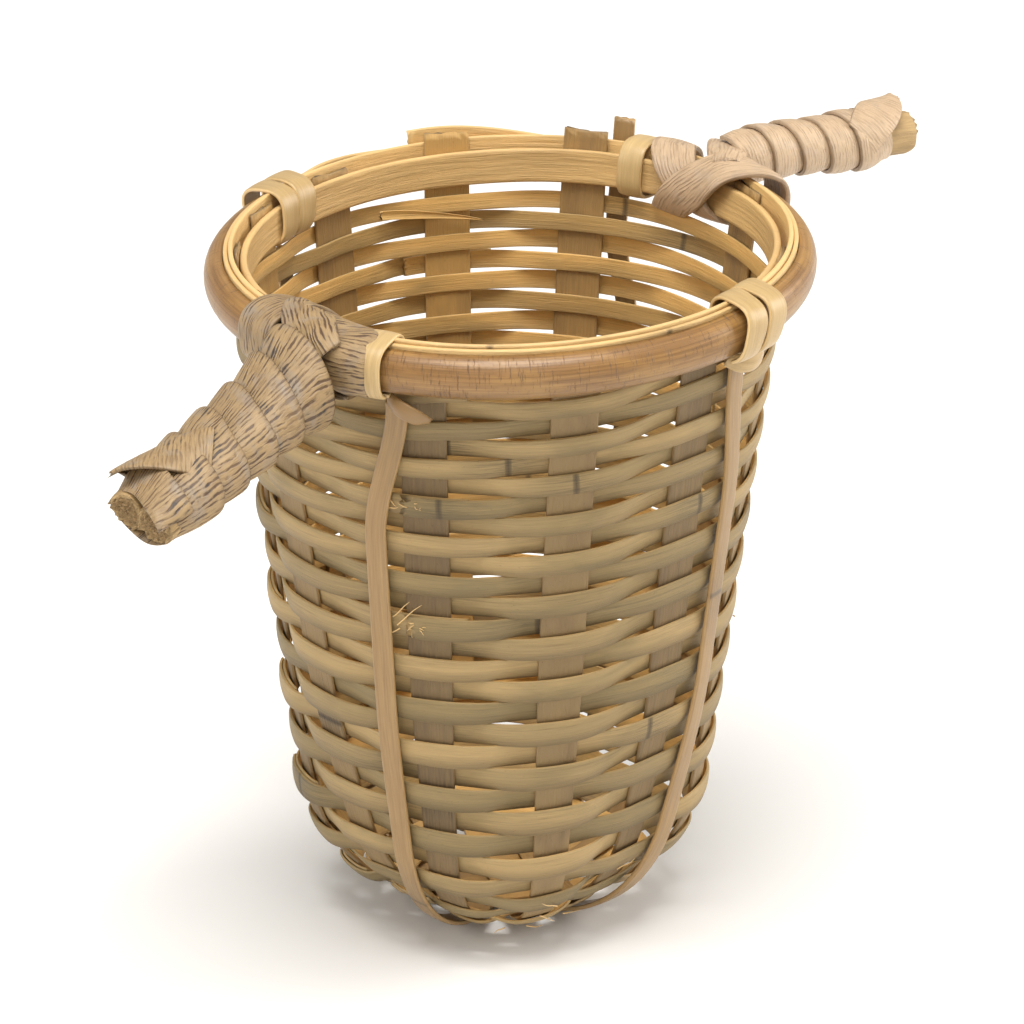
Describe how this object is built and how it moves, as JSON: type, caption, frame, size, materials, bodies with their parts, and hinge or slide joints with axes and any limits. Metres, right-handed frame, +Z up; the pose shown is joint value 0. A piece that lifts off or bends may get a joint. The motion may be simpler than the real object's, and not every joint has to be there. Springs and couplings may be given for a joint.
{
  "type": "bamboo strainer basket",
  "caption": "Hand-woven bamboo strainer basket with a lashed cane rim, crossed straps under the base and two short wrapped stub handles.",
  "frame": {"origin": "middle of the base, on the table, at the underside of the crossed straps", "axes": "+Z up through the mouth of the basket, +X towards the pale handle (which turns 8 degrees off it), -X towards the dark handle"},
  "size_m": [0.1649, 0.0946, 0.1143],
  "materials": {
    "weaver_bamboo": "satin, fine fibre lines",
    "stake_bamboo": "matte, strong fibre lines",
    "rim_cane": "semi-gloss, fine cross cracks",
    "rim_splint": "satin, fibre lines",
    "peel_strip": "satin, smooth outer peel",
    "handle_core": "matte, fibrous cut ends",
    "dark_bark": "satin, dark streaks across the strip",
    "pale_bark": "satin, fine growth lines"
  },
  "bodies": {
    "root": {"handle_a_band_1": "dark_bark", "handle_a_band_2": "dark_bark", "handle_a_core_1": "handle_core", "handle_a_core_2": "handle_core", "handle_a_wrap": "dark_bark", "handle_b_band_1": "pale_bark", "handle_b_band_2": "pale_bark", "handle_b_core": "handle_core", "handle_b_wrap": "pale_bark", "lashing_back_left": "peel_strip", "lashing_back_right": "peel_strip", "lashing_front_left": "peel_strip", "lashing_front_right": "peel_strip", "rim_back_splint": "rim_splint", "rim_cane": "rim_cane", "rim_inner_hoop": "rim_splint", "rim_splint_inner": "rim_splint", "rim_splint_outer": "rim_splint", "stake_strip_1": "stake_bamboo", "stake_strip_2": "stake_bamboo", "stake_strip_3": "stake_bamboo", "stake_strip_4": "stake_bamboo", "stake_strip_5": "stake_bamboo", "stake_strip_6": "stake_bamboo", "strap_cross": "peel_strip", "strap_long": "peel_strip", "weaver_01": "weaver_bamboo", "weaver_02": "weaver_bamboo", "weaver_03": "weaver_bamboo", "weaver_04": "weaver_bamboo", "weaver_05": "weaver_bamboo", "weaver_06": "weaver_bamboo", "weaver_07": "weaver_bamboo", "weaver_08": "weaver_bamboo", "weaver_09": "weaver_bamboo", "weaver_10": "weaver_bamboo", "weaver_11": "weaver_bamboo", "weaver_12": "weaver_bamboo", "weaver_13": "weaver_bamboo", "weaver_14": "weaver_bamboo", "weaver_15": "weaver_bamboo", "weaver_16": "weaver_bamboo", "weaver_17": "weaver_bamboo", "weaver_18": "weaver_bamboo", "weaver_19": "weaver_bamboo", "weaver_20": "weaver_bamboo", "weaver_21": "weaver_bamboo", "weaver_22": "weaver_bamboo", "weaver_23": "weaver_bamboo", "weaver_24": "weaver_bamboo", "weaver_25": "weaver_bamboo", "weaver_26": "weaver_bamboo", "weaver_27": "weaver_bamboo", "weaver_28": "weaver_bamboo"}
  },
  "joints": []
}
